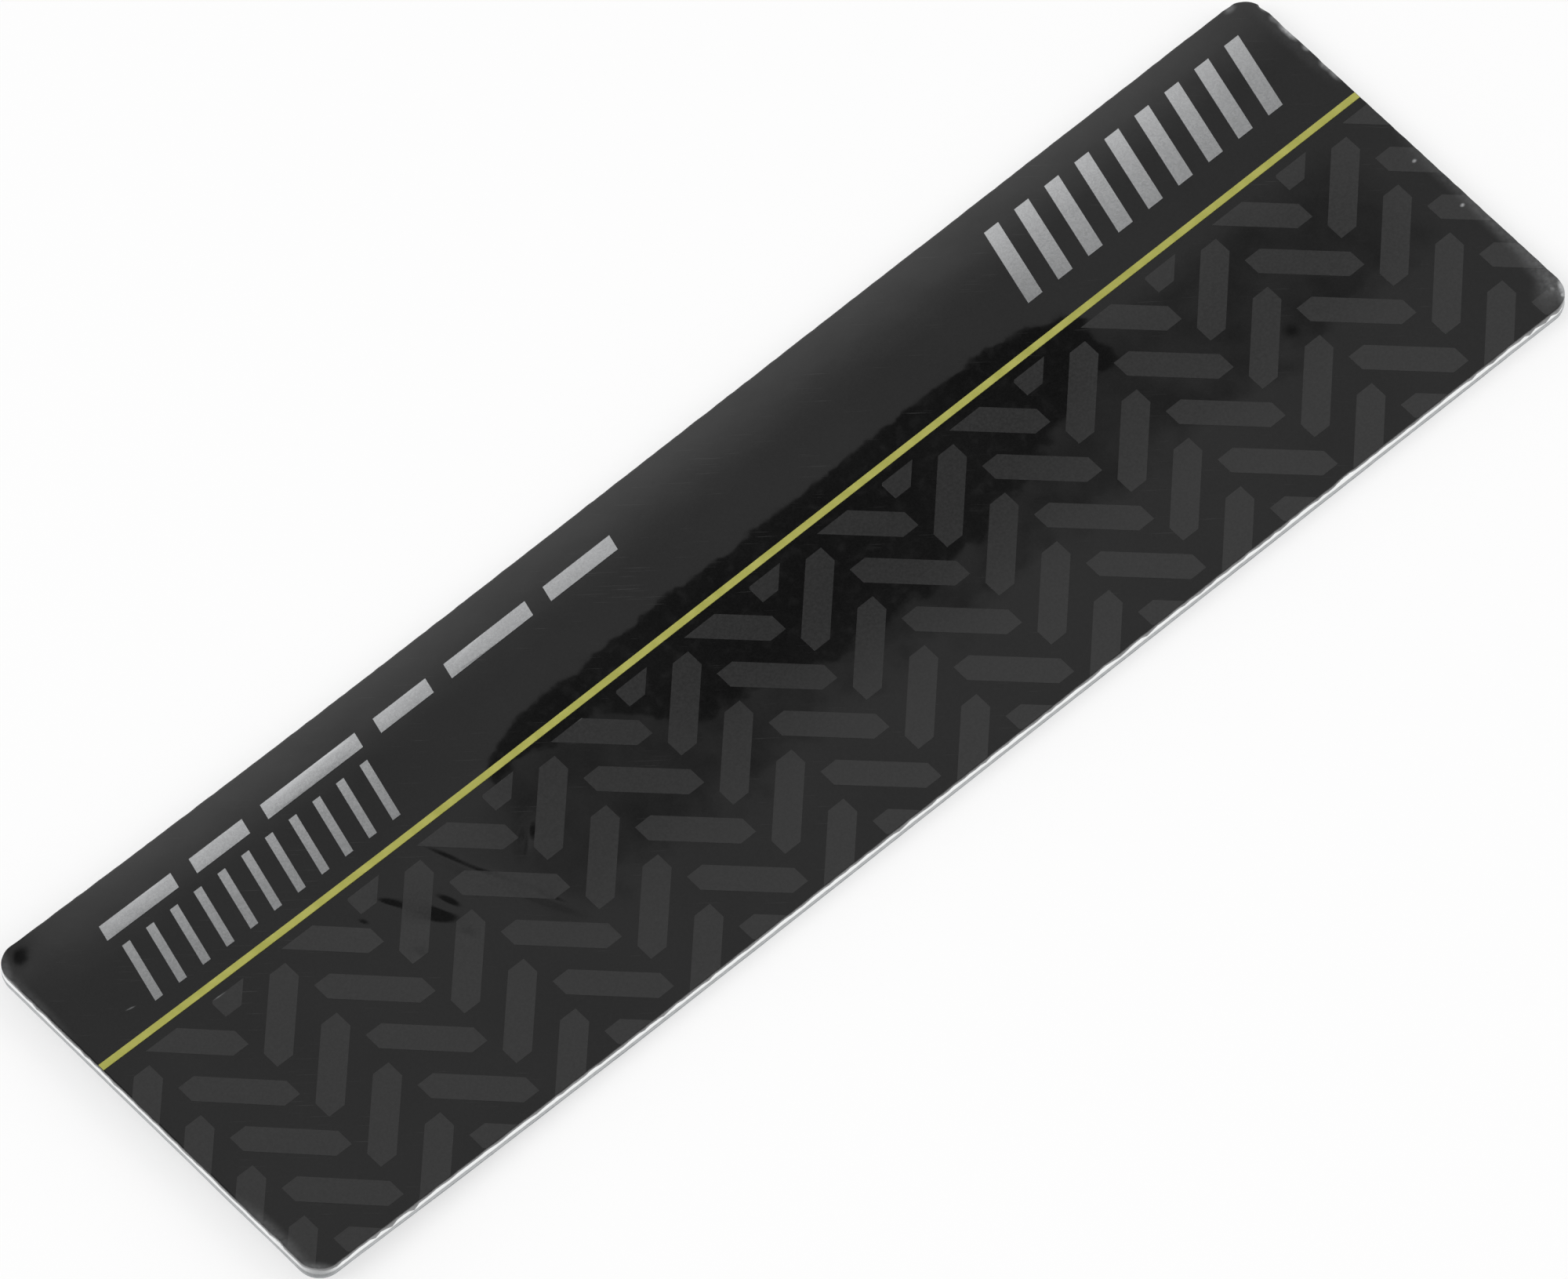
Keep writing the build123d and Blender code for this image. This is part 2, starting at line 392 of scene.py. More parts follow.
def bellsAlong(path, marks):
    # Sum of flat-topped bells along the outline: size * exp(-(distance / half length)^4), one for each mark
    x, y, halfLong, size = np.array(marks).T
    ring = ringAt(path, 0)
    away = np.hypot(ring[:, :1] - x, ring[:, 1:] - y)
    return (size * np.exp(-((away / halfLong) ** 4))).sum(axis=-1)


def chipDepth(path):
    # A bell for each chip, made uneven, over a fine ragged cut
    along = alongPath(path)
    bites = bellsAlong(path, film["chips"]) * raggedLine(along, *film["bite"])
    return raggedLine(along, *film["ragged"]) + bites


def dentDepth(flat):
    # Each dent is a bell: depth * exp(-(a / length)^2 - (b / width)^2), with a and b along and across it
    x, y, turn, halfLong, halfWide, depth = np.array(film["dents"]).T
    turn = np.radians(turn)
    dx, dy = flat[..., :1] - x, flat[..., 1:] - y
    a = dx * np.cos(turn) + dy * np.sin(turn)
    b = dy * np.cos(turn) - dx * np.sin(turn)
    return (depth * np.exp(-((a / halfLong) ** 2) - (b / halfWide) ** 2)).sum(axis=-1)


def filmStops():  # along the long edges: even steps, and fine ones beside the dents
    low, high = film["fineSpan"]
    even = evenStops(cornerX, film["step"])
    fine = np.arange(low, high, film["fineStep"])
    return np.concatenate([even[even < low - film["fineStep"]], fine, even[even > high]])


def makeFilm():
    # Underside along the sheet's drawn edge and down its wall to a ragged foot, then up the side and over a
    # quarter-round rim, r * (1 - cos) in and r * sin up, onto the dented face
    path = outlinePath(filmStops(), evenStops(cornerY, film["step"]), film["arcSteps"])
    along = alongPath(path)
    level = np.ones_like(along)
    chip = chipDepth(path)
    wall = np.maximum(film["overhang"], chip + film["chipMargin"])  # where the film lies on the sheet
    drop = film["footDrop"] * raggedLine(along, *film["foot"]) ** 2 + bellsAlong(path, film["tags"])
    drop = drop * np.clip(1 - chip / film["overhang"], 0, 1)  # none hangs where the edge is chipped
    foot = filmLow + chip - drop
    pale = raggedLine(along, *film["pale"])
    insets = [np.maximum(drawnEdge, chip) + film["drawnMargin"], wall, wall - film["footGap"], chip]
    heights = [plateTop * level, np.minimum(plateTop, filmLow + wall), foot, foot]
    rim = [level, level, pale + film["footPale"], pale + film["footPale"]]
    radius = film["rimRadius"]
    for share in np.linspace(0, 1, film["rimRows"]):
        turn = share * pi / 2
        insets.append(chip + radius * (1 - cos(turn)))
        heights.append((filmTop - radius + radius * sin(turn)) * level)
        rim.append(pale * (1 - share) ** 2)
    for share in film["marginShares"]:
        insets.append((chip + radius) * (1 - share) + ringInset * share)
        heights.append(filmTop * level)
        rim.append(0 * level)
    under = hiddenRows[::-1]
    top = np.linspace(0, 1, int(halfWidth / film["rowStep"]))
    flat = allRings(path, under, insets, top)
    height = allRows(under, heights, top, plateTop, filmTop)
    height = np.where(height > filmTop - hairline, height - dentDepth(flat), height)
    rim = allRows(under, rim, top, 1.0, 0.0)
    piece = closedBody("printed_film", flat, height, filmMaterial(), "black_film", rim=rim)
    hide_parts("face_film")


# Printed bars

bars = {
    "inks": ("#2A2A2A", "#303030"),  # where it lies thin and where it lies thick
    "mottleWidth": 0.12,
    "roughness": (0.12, 0.17),
    "rubbedRough": 0.4,  # added where it is rubbed
    "netRows": (-4.6, 3.2),  # across the plate, where the bars are cut finely enough to follow the dents
    "netStep": 0.15,
    "lift": 0.25,  # share of the CAD layer's height, so that the bars read as a thin print in low views
    "weld": 1e-4,  # points closer than this are one
}


def greyInkMaterial():
    # Screen-printed dark grey ink: a shade lighter than the film, with a softer gloss, faintly mottled
    material, tree = newMaterial("dark_grey_screen_ink")
    place = addNode(tree, "TexCoord").outputs["Object"]
    thin, thick = (linear(ink) for ink in bars["inks"])
    scale = perSize(bars["mottleWidth"])
    mottle = addNode(tree, "TexNoise", {"Vector": place, "Scale": scale, "Detail": 3.0})
    tone = addNode(tree, "MapRange", [mottle, *noiseSpan, 0.0, 1.0])
    base = addNode(tree, "Mix", {0: tone, 6: thin, 7: thick}, data_type="RGBA").outputs[2]
    rubbed = rubbedShare(tree, place)
    base = addNode(tree, "Mix", {0: rubbed, 6: base, 7: linear(film["worn"])}, data_type="RGBA").outputs[2]
    rough = addNode(tree, "MapRange", [mottle, *noiseSpan, *bars["roughness"]])
    rough = addNode(tree, "Math", [rubbed, bars["rubbedRough"], rough], operation="MULTIPLY_ADD")
    shader = addNode(tree, "BsdfPrincipled", {
        "Base Color": base, "Roughness": rough, "IOR": plasticIor, "Normal": filmNormal(tree, place),
    })
    addNode(tree, "OutputMaterial", {"Surface": shader})
    return material


def makeBars():
    # The CAD bars, cut into a fine net across the dents, thinned to a share of their height above the film,
    # z = ground + share * (z - ground), and pressed in with the film under them
    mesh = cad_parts["pattern_ink"].data.copy()
    mesh.materials.clear()
    mesh.attributes.remove(mesh.attributes["custom_normal"])  # made for the flat bars
    weld = bars["weld"] * mm
    work = bmesh.new()
    work.from_mesh(mesh)
    bmesh.ops.remove_doubles(work, verts=work.verts, dist=weld)
    columns = np.arange(*film["fineSpan"], bars["netStep"])
    rows = np.arange(*bars["netRows"], bars["netStep"])
    for across, stops in ((Vector((1, 0, 0)), columns), (Vector((0, 1, 0)), rows)):
        for stop in stops:
            everything = [*work.verts, *work.edges, *work.faces]
            bmesh.ops.bisect_plane(work, geom=everything, dist=weld,
                                   plane_co=across * stop * mm, plane_no=across)
    work.to_mesh(mesh)
    work.free()
    points = meshPoints(mesh)
    ground = bendHeight(points[:, 0], filmTop)
    points[:, 2] = ground + bars["lift"] * (points[:, 2] - ground) - dentDepth(points[:, :2])
    mesh.vertices.foreach_set("co", (points * mm).ravel())
    piece = finishPiece("pressed_bars", mesh, greyInkMaterial())
    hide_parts("pattern_ink")


# Stripe and silver marks, which keep their CAD shapes

stripe = {
    "inks": ("#9F9F48", "#AAA952"),  # where it lies thin and where it lies thick
    "mottleWidth": 0.8,
    "roughness": (0.28, 0.4),
}

silverMarks = {
    "flakes": ("#B5B6B7", "#BEBFC0"),  # darkest and brightest
    "flakeWidth": 0.07,  # coarser than real flakes, so that they show
    "roughness": (0.15, 0.19),
}


def yellowInkMaterial():
    # Opaque olive-yellow screen ink: flat colour with a low satin gloss and a slightly thin, uneven lay-down
    material, tree = newMaterial("olive_yellow_screen_ink")
    place = addNode(tree, "TexCoord").outputs["Object"]
    thin, thick = (linear(ink) for ink in stripe["inks"])
    scale = perSize(stripe["mottleWidth"])
    mottle = addNode(tree, "TexNoise", {"Vector": place, "Scale": scale, "Detail": 3.0})
    tone = addNode(tree, "MapRange", [mottle, *cloudSpan, 0.0, 1.0])
    base = addNode(tree, "Mix", {0: tone, 6: thin, 7: thick}, data_type="RGBA").outputs[2]
    rough = addNode(tree, "MapRange", [mottle, *noiseSpan, *stripe["roughness"]])
    shader = addNode(tree, "BsdfPrincipled", {
        "Base Color": base, "Roughness": rough, "IOR": plasticIor, "Normal": filmNormal(tree, place),
    })
    addNode(tree, "OutputMaterial", {"Surface": shader})
    return material


def silverInkMaterial():
    # Silver ink full of aluminium flakes: a soft grey metal sheen that brightens towards the light
    material, tree = newMaterial("silver_flake_ink")
    place = addNode(tree, "TexCoord").outputs["Object"]
    dark, bright = (linear(flake) for flake in silverMarks["flakes"])
    flakes = addNode(tree, "TexVoronoi", {"Vector": place, "Scale": perSize(silverMarks["flakeWidth"])})
    shade = addNode(tree, "SeparateColor", [flakes.outputs["Color"]])
    base = addNode(tree, "Mix", {0: shade, 6: dark, 7: bright}, data_type="RGBA").outputs[2]
    rough = addNode(tree, "MapRange", [shade, 0.0, 1.0, *silverMarks["roughness"]])
    shader = addNode(tree, "BsdfPrincipled", {
        "Base Color": base, "Metallic": 1.0, "Roughness": rough, "Normal": filmNormal(tree, place),
    })
    addNode(tree, "OutputMaterial", {"Surface": shader})
    return material


def paintInks():
    paints = {"stripe_ink": yellowInkMaterial(), "mark_ink": silverInkMaterial()}
    for node, paint in paints.items():
        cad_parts[node].data.materials.clear()
        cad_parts[node].data.materials.append(paint)
    print("inks painted")


# Blanked sheet

sheet = {
    "step": 0.15,
    "arcSteps": 20,
    "underInset": 0.2,  # outermost ring of the underside
    "burr": (0.3, 12, 0.005, 0.015),  # inset of the burr at the bottom: spacing, seed, least and most
    "burrHeight": 0.03,
    "burrTorn": 0.6,  # how torn the burr looks
    "tornShare": 0.35,  # lower part of the wall, torn and not cut
    "tearLine": (0.8, 11, -0.03, 0.03),  # the tear starts at an uneven height: the same four values
    "tear": (0.16, 20, 0.0, 0.02),  # depth of the tear: the same four, and each row's seed is one more
    "tornRows": 10,
    "cutShares": (0.03, 0.5, 1.0),  # rows up the cut band
    "drawnShares": (0.5, 1.0),  # and over the drawn-in edge
    "bright": "#F4F5F5",
    "torn": "#B9BBBC",
    # grey of the painted shade on the wall's curved corners, below
    "cornerShadeGrey": "#8E9091",
    "roughness": (0.2, 0.34),
    "tornRough": 0.25,  # added where it is torn
    "shearWidth": 0.12,
    "shearStretch": 0.04,  # upright, so that the lines run up the wall
    "shearDepth": 0.01,
    "shearStrength": 0.5,
    "cornerShade": [  # painted shade, grey, on the wall at and near the corners: x, y, turn, half length, half width, amount
        (-34.6, -9.8, -45.0, 1.0, 0.5, 0.85), (-34.9, -8.3, 90.0, 0.8, 0.3, 0.2),
        (34.7, -9.9, 45.0, 0.6, 0.4, 0.25),
    ],
}


def aluminiumMaterial():
    # Bare aluminium sheet, blanked by a punch: bright, with upright shear lines, a duller torn zone below,
    # and painted shade in grey on the wall at the corners
    material, tree = newMaterial("blanked_aluminium")
    place = addNode(tree, "TexCoord").outputs["Object"]
    bright, tornGrey, cornerShadeGrey = linear(sheet["bright"]), linear(sheet["torn"]), linear(sheet["cornerShadeGrey"])
    upright = addNode(tree, "Mapping", {"Vector": place, "Scale": (1.0, 1.0, sheet["shearStretch"])})
    scale = perSize(sheet["shearWidth"])
    lines = addNode(tree, "TexNoise", {"Vector": upright, "Scale": scale, "Detail": 3.0})
    torn = addNode(tree, "Attribute", attribute_name="torn").outputs["Fac"]
    # painted shade: grey spots where the curved corner walls fall into shade
    cornerShade = spots(tree, place, sheet["cornerShade"])
    base = addNode(tree, "Mix", {0: torn, 6: bright, 7: tornGrey}, data_type="RGBA").outputs[2]
    base = addNode(tree, "Mix", {0: cornerShade, 6: base, 7: cornerShadeGrey}, data_type="RGBA").outputs[2]
    rough = addNode(tree, "MapRange", [lines, *noiseSpan, *sheet["roughness"]])
    rough = addNode(tree, "Math", [torn, sheet["tornRough"], rough], operation="MULTIPLY_ADD")
    bump = addNode(tree, "Bump", {
        "Strength": sheet["shearStrength"], "Distance": sheet["shearDepth"] * mm, "Height": lines,
    })
    shader = addNode(tree, "BsdfPrincipled", {
        "Base Color": base, "Metallic": 1.0, "Roughness": rough, "Normal": bump,
    })
    addNode(tree, "OutputMaterial", {"Surface": shader})
    return material


def makeSheet():
    # Edge of a blanked sheet from the bottom up: a fine burr, a torn band, depth * sin(pi * share) deep, with
    # the share of the way up it, a smooth cut band and the drawn-in top
    path = evenPath(sheet["step"], sheet["arcSteps"])
    along = alongPath(path)
    level = np.ones_like(along)
    wall = film["overhang"]
    wallLow = padTop + sheet["burrHeight"]
    wallTop = filmLow + wall
    tornTop = padTop + sheet["tornShare"] * (plateTop - padTop) + raggedLine(along, *sheet["tearLine"])
    insets = [sheet["underInset"] * level, raggedLine(along, *sheet["burr"])]
    heights = [padTop * level, padTop * level]
    torn = [0 * level, sheet["burrTorn"] * level]
    spacing, seed, least, most = sheet["tear"]
    for row, share in enumerate(np.linspace(0, 1, sheet["tornRows"])):
        tear = raggedLine(along, spacing, seed + row, least, most)
        insets.append(wall + tear * sin(pi * share))
        heights.append(wallLow + share * (tornTop - wallLow))
        torn.append((1 - share**4) * level)
    for share in sheet["cutShares"]:
        insets.append(wall * level)
        heights.append(tornTop + share * (wallTop - tornTop))
        torn.append(0 * level)
    for share in sheet["drawnShares"]:
        drawn = share * (drawnEdge - wall)
        insets.append((wall + drawn) * level)
        heights.append((wallTop + drawn) * level)
        torn.append(0 * level)
    under, top = hiddenRows[::-1], hiddenRows
    flat = allRings(path, under, insets, top)
    height = allRows(under, heights, top, padTop, plateTop)
    torn = allRows(under, torn, top, 0.0, 0.0)
    piece = closedBody("blanked_sheet", flat, height, aluminiumMaterial(), "bare_aluminium", torn=torn)
    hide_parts("spreader_plate")


# Thermal pad

pad = {
    "step": 0.25,
    "arcSteps": 12,
    "edgeRound": 0.03,
    "edgeRows": 9,
    "underRows": 12,
    "wander": (2.4, 31, 0.0, 0.02),  # inset of the edge, cut with a blade: spacing, seed, least and most
    "fineWander": (0.4, 32, 0.0, 0.006),  # added to it: the same four values
    "tones": ("#8B8E90", "#A3A6A8"),
    "roughness": 0.72,
    "ior": 1.41,
    "fillerWidth": 0.3,
    "fillerShare": 0.6,  # of the weave's height
    "weavePitch": 0.9,
    "weaveDepth": 0.02,
    "weaveStrength": 0.6,
}


def padMaterial():
    # Filled silicone thermal pad on a fine glass carrier: matte grey, mottled by its filler, faint weave
    material, tree = newMaterial("silicone_thermal_pad")
    place = addNode(tree, "TexCoord").outputs["Object"]
    dark, pale = (linear(tone) for tone in pad["tones"])
    filler = addNode(tree, "TexNoise", {"Vector": place, "Scale": perSize(pad["fillerWidth"]), "Detail": 5.0})
    tone = addNode(tree, "MapRange", [filler, *noiseSpan, 0.0, 1.0])
    base = addNode(tree, "Mix", {0: tone, 6: dark, 7: pale}, data_type="RGBA").outputs[2]
    waves = perSize(pad["weavePitch"]) * 2 * pi / waveTurn
    warp = addNode(tree, "TexWave", {"Vector": place, "Scale": waves}, bands_direction="X")
    weft = addNode(tree, "TexWave", {"Vector": place, "Scale": waves}, bands_direction="Y")
    weave = addNode(tree, "Math", [warp, weft], operation="MAXIMUM")
    height = addNode(tree, "Math", [filler, pad["fillerShare"], weave], operation="MULTIPLY_ADD")
    bump = addNode(tree, "Bump", {
        "Strength": pad["weaveStrength"], "Distance": pad["weaveDepth"] * mm, "Height": height,
    })
    shader = addNode(tree, "BsdfPrincipled", {
        "Base Color": base, "Roughness": pad["roughness"], "IOR": pad["ior"], "Normal": bump,
    })
    addNode(tree, "OutputMaterial", {"Surface": shader})
    return material


def makePad():
    # Soft slab, flat below and above. Its wandering edge is drawn in by round * (1 - sqrt(sin(pi * share))),
    # with the share of the way up
    path = evenPath(pad["step"], pad["arcSteps"])
    along = alongPath(path)
    wander = raggedLine(along, *pad["wander"]) + raggedLine(along, *pad["fineWander"])
    insets, heights = [], []
    for share in np.linspace(0, 1, pad["edgeRows"]):
        insets.append(padInset + wander + pad["edgeRound"] * (1 - sin(pi * share) ** 0.5))
        heights.append(np.full_like(along, padTop * share))
    under, top = np.linspace(1, 0, pad["underRows"]), hiddenRows
    flat = allRings(path, under, insets, top)
    height = allRows(under, heights, top, 0.0, padTop)
    piece = closedBody("soft_pad", flat, height, padMaterial(), "pad_rubber")
    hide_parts("thermal_pad")


makeFilm()
makeSheet()
makePad()
makeBars()
paintInks()


# Camera, from the photograph's outline

shot = {
    "lens": 566.3,
    "sensor": 36.0,
    "azimuth": -40.055,
    "elevation": 59.157,
    "roll": -2.233,
    "distance": 1020.36,
    "aim": (-0.478, -0.2233),  # on the level film
    "clip": (10.0, 20000.0),
}


def makeCamera():
    a, e, roll = radians(shot["azimuth"]), radians(shot["elevation"]), radians(shot["roll"])
    back = Vector((sin(a) * cos(e), -cos(a) * cos(e), sin(e)))
    side = Vector((0, 0, 1)).cross(back).normalized()
    right = cos(roll) * side + sin(roll) * back.cross(side)
    data = bpy.data.cameras.new("camera")
    data.lens = shot["lens"]
    data.sensor_width = shot["sensor"]
    data.clip_start, data.clip_end = (clip * mm for clip in shot["clip"])
    camera = bpy.data.objects.new("camera", data)
    turn = Matrix((right, back.cross(right), back)).transposed().to_4x4()
    aim = Vector((*shot["aim"], filmTop)) * mm
    camera.matrix_world = Matrix.Translation(aim + back * shot["distance"] * mm) @ turn
    bpy.context.scene.collection.objects.link(camera)
    bpy.context.scene.camera = camera
    return camera


# Studio

studio = {
    "floorHalf": 3000.0,
    "floorGap": 0.005,  # a hair under the pad, so that the two surfaces don't mix in views from below
    "floorPaint": "#FCFCFC",
    "floorGlow": 0.55,  # share of plain white in the floor that the camera sees
    "mirrorGlow": 0.85,  # and in the floor that reflections see
    "skyBand": (0.2, 0.72),  # where the dome darkens, as the sine of the angle above the horizon
    "skyLow": 1.0,
    "skyMirrored": 0.4,  # the same for reflections, so that the gloss stays dark in low views
    "skyHigh": 0.46,
    "lamps": [  # place, width and watts
        ((-750, 350, 800), 700, 5.2), ((650, -650, 700), 700, 4.0),
    ],
}


def levelMesh(name, xEnds, yEnds, height):  # one rectangle that faces up
    left, right = xEnds
    near, far = yEnds
    corners = [(left, near, height), (right, near, height), (right, far, height), (left, far, height)]
    mesh = bpy.data.meshes.new(name)
    mesh.from_pydata(np.array(corners) * mm, [], [(0, 1, 2, 3)])
    return mesh


def makeFloor():
    # White paint that takes light and shadow, with some plain white over it for the camera and reflections
    half = studio["floorHalf"]
    mesh = levelMesh("floor", (-half, half), (-half, half), -studio["floorGap"])
    material, tree = newMaterial("white_floor")
    rays = addNode(tree, "LightPath").outputs
    mirrored = addNode(tree, "Math", [rays["Is Glossy Ray"], rays["Is Transmission Ray"]],
                       operation="MAXIMUM")
    seen = addNode(tree, "Math", [rays["Is Camera Ray"], studio["floorGlow"]], operation="MULTIPLY")
    share = addNode(tree, "Math", [mirrored, studio["mirrorGlow"], seen], operation="MULTIPLY_ADD")
    paint = addNode(tree, "BsdfDiffuse", {"Color": linear(studio["floorPaint"])})
    glow = addNode(tree, "Emission", {"Color": white, "Strength": 1.0})
    surface = addNode(tree, "MixShader", [share, paint, glow])
    # Clear to rays that meet it from below, and to where they go next, so that the underside can be seen
    beneath = addNode(tree, "NewGeometry").outputs["Backfacing"]
    through = addNode(tree, "Math", [beneath, rays["Transparent Depth"]], operation="MAXIMUM")
    clear = addNode(tree, "BsdfTransparent")
    either = addNode(tree, "MixShader", [through, surface, clear])
    addNode(tree, "OutputMaterial", {"Surface": either})
    mesh.materials.append(material)
    floor = bpy.data.objects.new("floor", mesh)
    bpy.context.scene.collection.objects.link(floor)


def makeSky():
    # Plain dome: white at the horizon and below, softer grey overhead
    world = bpy.data.worlds.new("studio")
    world.use_nodes = True
    tree = world.node_tree
    tree.nodes.clear()
    up = addNode(tree, "SeparateXYZ", [addNode(tree, "TexCoord").outputs["Generated"]]).outputs["Z"]
    mirrored = addNode(tree, "LightPath").outputs["Is Glossy Ray"]
    change = studio["skyMirrored"] - studio["skyLow"]
    low = addNode(tree, "Math", [mirrored, change, studio["skyLow"]], operation="MULTIPLY_ADD")
    level = addNode(tree, "MapRange", [up, *studio["skyBand"], low, studio["skyHigh"]], **smooth)
    light = addNode(tree, "Background", {"Color": white, "Strength": level})
    addNode(tree, "OutputWorld", {"Surface": light})
    bpy.context.scene.world = world


def makeLamps():
    for number, (place, width, watts) in enumerate(studio["lamps"]):
        data = bpy.data.lights.new(f"lamp_{number}", "AREA")
        data.size = width * mm
        data.energy = watts
        lamp = bpy.data.objects.new(f"lamp_{number}", data)
        lamp.location = Vector(place) * mm
        lamp.rotation_euler = lamp.location.to_track_quat("Z", "Y").to_euler()
        bpy.context.scene.collection.objects.link(lamp)


def mirroredCard(name, xStops, yStops, rise, camera, material, **attributes):
    # Level card that the film mirrors: each place on the film sends the camera's ray on to its point of the
    # card, d - 2 (d . n) n, and the card's UV map keeps the place on the film in metres
    x, y = np.meshgrid(xStops, yStops)
    onFilm = np.stack([x, y, bendHeight(x, np.full_like(x, filmTop))], axis=-1)
    ray = onFilm - np.array(camera.matrix_world.translation) / mm
    normal = np.stack([np.clip(bendStart - x, 0, None) / bendRadius, 0 * x, 1 + 0 * x], axis=-1)
    normal /= np.linalg.norm(normal, axis=-1, keepdims=True)
    ray -= 2 * (ray * normal).sum(axis=-1, keepdims=True) * normal
    points = onFilm + ray * ((filmTop + rise - onFilm[..., 2]) / ray[..., 2])[..., None]
    rows, columns = x.shape
    index = np.arange(rows * columns).reshape(rows, columns)
    faces = np.stack([index[:-1, :-1], index[:-1, 1:], index[1:, 1:], index[1:, :-1]], axis=-1).reshape(-1, 4)
    mesh = bpy.data.meshes.new(name)
    mesh.from_pydata(points.reshape(-1, 3) * mm, [], faces.tolist())
    flat = onFilm[..., :2].reshape(-1, 2) * mm
    mesh.uv_layers.new(name="filmPlace").data.foreach_set("uv", flat[faces].ravel())
    for key, values in attributes.items():
        mesh.attributes.new(key, "FLOAT", "POINT").data.foreach_set("value", values(x, y).ravel())
    hangCard(name, mesh, material)


def hangCard(name, mesh, material):  # only reflections see it
    mesh.materials.append(material)
    card = bpy.data.objects.new(name, mesh)
    card.visible_camera = False
    card.visible_diffuse = False
    card.visible_shadow = False
    bpy.context.scene.collection.objects.link(card)


def cardMaterial(name):  # returns its place on the film too
    material, tree = newMaterial(name)
    return material, tree, addNode(tree, "UVMap", uv_map="filmPlace").outputs["UV"]


def cardSurface(tree, share, strength):  # shines with a strength at a share of 1, and is clear at 0
    light = addNode(tree, "Emission", {"Color": white, "Strength": strength})
    clear = addNode(tree, "BsdfTransparent")
    surface = addNode(tree, "MixShader", [share, clear, light])
    addNode(tree, "OutputMaterial", {"Surface": surface})


def fadedEnds(tree, x, ends, last):  # rises to 1 between the first two ends, falls to the last share after
    first, second, third, fourth = (end * mm for end in ends)
    begin = addNode(tree, "MapRange", [x, first, second, 0.0, 1.0], **smooth)
    finish = addNode(tree, "MapRange", [x, third, fourth, 1.0, last], **smooth)
    return addNode(tree, "Math", [begin, finish], operation="MULTIPLY")


flag = {  # dark card, placed by where the film mirrors it
    "rise": 39.0,
    "x": (-38.0, 38.0),
    "y": (-9.0, 13.0),
    "columns": 240,
    "rows": 90,
    "middle": 2.5,
    "halfSpan": 16.8,
    "top": 4.65,
    "topDroop": 1.6,  # how far the upper edge falls at the ends of the patch
    "droopPower": 10,
    "droopReach": 1.02,  # half spans from the middle to where it falls no further
    "lowX": (-14.0, -8.0, -6.4, -3.0, 0.0, 9.0, 14.5, 19.0),
    "lowY": (2.4, 2.0, -0.4, -1.8, -2.7, -2.6, -0.8, 0.8),
    "ragWidth": 0.5,
    "blobWidth": 2.2,
    "edges": {  # the noise that an edge wanders by, how far, and the distances between which it fades in
        "belowTop": ("rags", 0.6, 0.0, 0.15),
        "aboveLow": ("blobs", 3.2, -0.2, 0.5),
        "withinEnds": ("blobs", 3.0, 0.0, 0.6),
    },
    "smudgeSpan": (0.52, 0.72),  # the peaks of the rags lighten the patch
    "smudges": (1.0, 0.7),
    "shade": (0.25, 0.7),  # least and most of the half shade around the patch
    "shadeLow": (-5.2, -3.2),  # its lower edge fades in between these
    "shadeWander": 4.0,
    "shadeTop": (0.0, 1.6),  # and its upper one between these distances below the patch's
    "shadeEnds": (-18.0, -13.0, 31.0, 33.5),
}


def belowTop(x, y):  # distance below the patch's upper edge
    reach = flag["droopReach"]
    share = np.clip((x - flag["middle"]) / flag["halfSpan"], -reach, reach)
    return flag["top"] - flag["topDroop"] * share ** flag["droopPower"] - y


def aboveLow(x, y):  # distance above its lower edge
    return y - np.interp(x, flag["lowX"], flag["lowY"])


def withinEnds(x, y):  # distance inside the patch's two ends
    return flag["halfSpan"] - np.abs(x - flag["middle"])


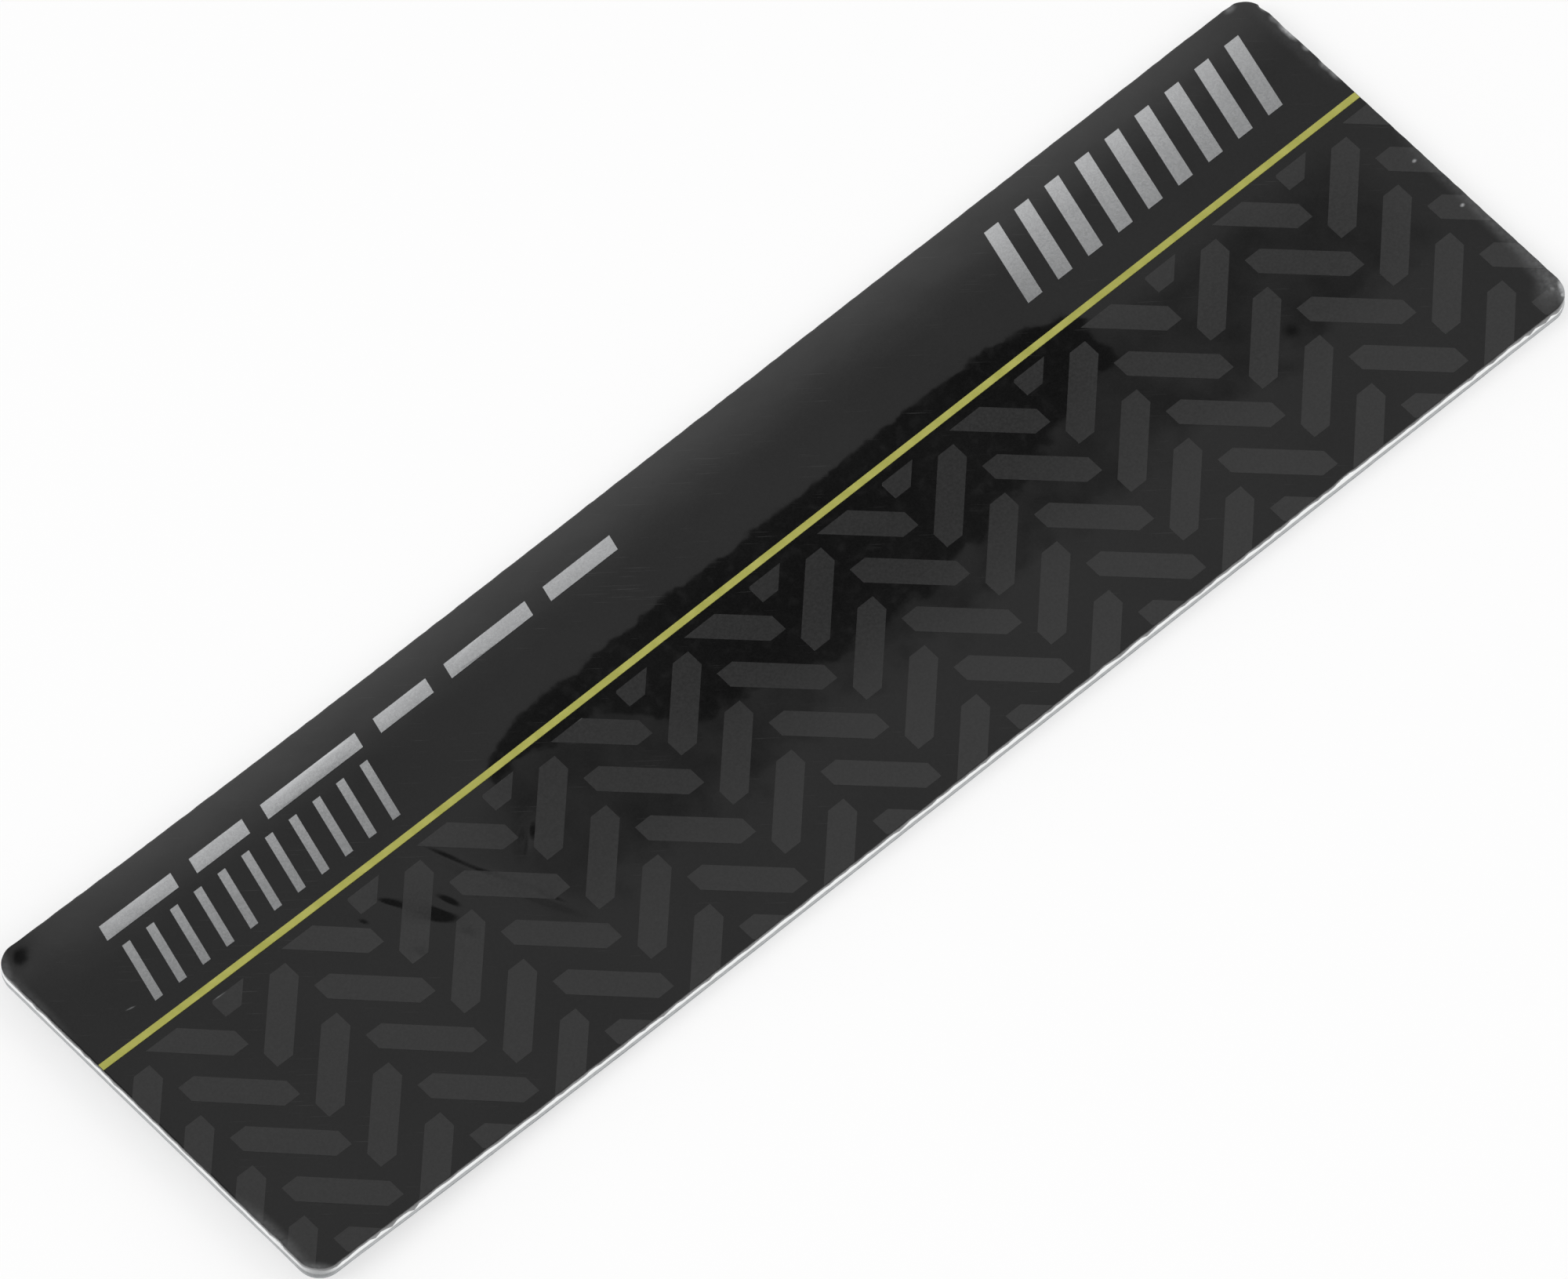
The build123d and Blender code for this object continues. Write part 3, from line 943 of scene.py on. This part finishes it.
def makeFlag(camera):
    # The patch is dark within all its edges, and the half shade around it is clouded
    material, tree, place = cardMaterial("dark_card")
    rags = addNode(tree, "TexNoise", {"Vector": place, "Scale": perSize(flag["ragWidth"]), "Detail": 4.0})
    blobs = addNode(tree, "TexNoise", {"Vector": place, "Scale": perSize(flag["blobWidth"]), "Detail": 3.0})
    noises = {"rags": rags, "blobs": blobs}
    distances = {}
    patch = addNode(tree, "MapRange", [rags, *flag["smudgeSpan"], *flag["smudges"]])
    for name, (noise, reach, clear, full) in flag["edges"].items():
        plain = addNode(tree, "Attribute", attribute_name=name).outputs["Fac"]
        wander = addNode(tree, "Math", [noises[noise], reach, -reach / 2], operation="MULTIPLY_ADD")
        distances[name] = addNode(tree, "Math", [plain, wander], operation="ADD")
        within = addNode(tree, "MapRange", [distances[name], clear, full, 0.0, 1.0], **smooth)
        patch = addNode(tree, "Math", [patch, within], operation="MULTIPLY")

    across = addNode(tree, "SeparateXYZ", [place])
    reach = flag["shadeWander"] * mm
    wander = addNode(tree, "Math", [blobs, reach, -reach / 2], operation="MULTIPLY_ADD")
    height = addNode(tree, "Math", [across.outputs["Y"], wander], operation="ADD")
    clear, full = (low * mm for low in flag["shadeLow"])
    lower = addNode(tree, "MapRange", [height, clear, full, 0.0, 1.0], **smooth)
    upper = addNode(tree, "MapRange", [distances["belowTop"], *flag["shadeTop"], 0.0, 1.0], **smooth)
    ends = fadedEnds(tree, across.outputs["X"], flag["shadeEnds"], 0.0)
    shade = addNode(tree, "MapRange", [blobs, *noiseSpan, *flag["shade"]])
    for within in (lower, upper, ends):
        shade = addNode(tree, "Math", [shade, within], operation="MULTIPLY")
    cardSurface(tree, addNode(tree, "Math", [patch, shade], operation="MAXIMUM"), 0.0)
    xStops = np.linspace(*flag["x"], flag["columns"])
    yStops = np.linspace(*flag["y"], flag["rows"])
    mirroredCard("dark_card", xStops, yStops, flag["rise"], camera, material,
                 belowTop=belowTop, aboveLow=aboveLow, withinEnds=withinEnds)


screen = {  # dark screen off to one side, which only the flanks of the dents mirror
    "height": 300.0,
    "x": (66.0, 94.0),
    "y": (95.0, 215.0),
    "fade": (84.0, 94.0),  # along x
}


def makeScreen():
    material, tree = newMaterial("dark_screen")
    place = addNode(tree, "TexCoord").outputs["Object"]
    across = addNode(tree, "SeparateXYZ", [place]).outputs["X"]
    full, clear = (stop * mm for stop in screen["fade"])
    share = addNode(tree, "MapRange", [across, full, clear, 1.0, 0.0], **smooth)
    cardSurface(tree, share, 0.0)
    hangCard("dark_screen", levelMesh("dark_screen", screen["x"], screen["y"], screen["height"]), material)


panel = {  # bright panel whose soft edge the film mirrors along the far side
    "rise": 40.0,
    "halfLength": 70.0,
    "columns": 60,
    "edge": (6.4, 11.5),  # it fades in between these
    "far": 60.0,
    "rows": 12,
    "ends": (-38.0, -27.0, 28.0, 40.0),
    "lastShare": 0.4,  # left of it past the last end
    "strength": 1.4,
}


def makePanel(camera):
    material, tree, place = cardMaterial("bright_panel")
    across = addNode(tree, "SeparateXYZ", [place])
    clear, full = (edge * mm for edge in panel["edge"])
    soft = addNode(tree, "MapRange", [across.outputs["Y"], clear, full, 0.0, 1.0], **smooth)
    ends = fadedEnds(tree, across.outputs["X"], panel["ends"], panel["lastShare"])
    cardSurface(tree, addNode(tree, "Math", [soft, ends], operation="MULTIPLY"), panel["strength"])
    xStops = np.linspace(-panel["halfLength"], panel["halfLength"], panel["columns"])
    yStops = np.linspace(panel["edge"][0], panel["far"], panel["rows"])
    mirroredCard("bright_panel", xStops, yStops, panel["rise"], camera, material)


camera = makeCamera()
makeFloor()
makeSky()
makeLamps()
makeFlag(camera)
makeScreen()
makePanel(camera)
bpy.context.scene.view_settings.view_transform = "Standard"
print("studio set")
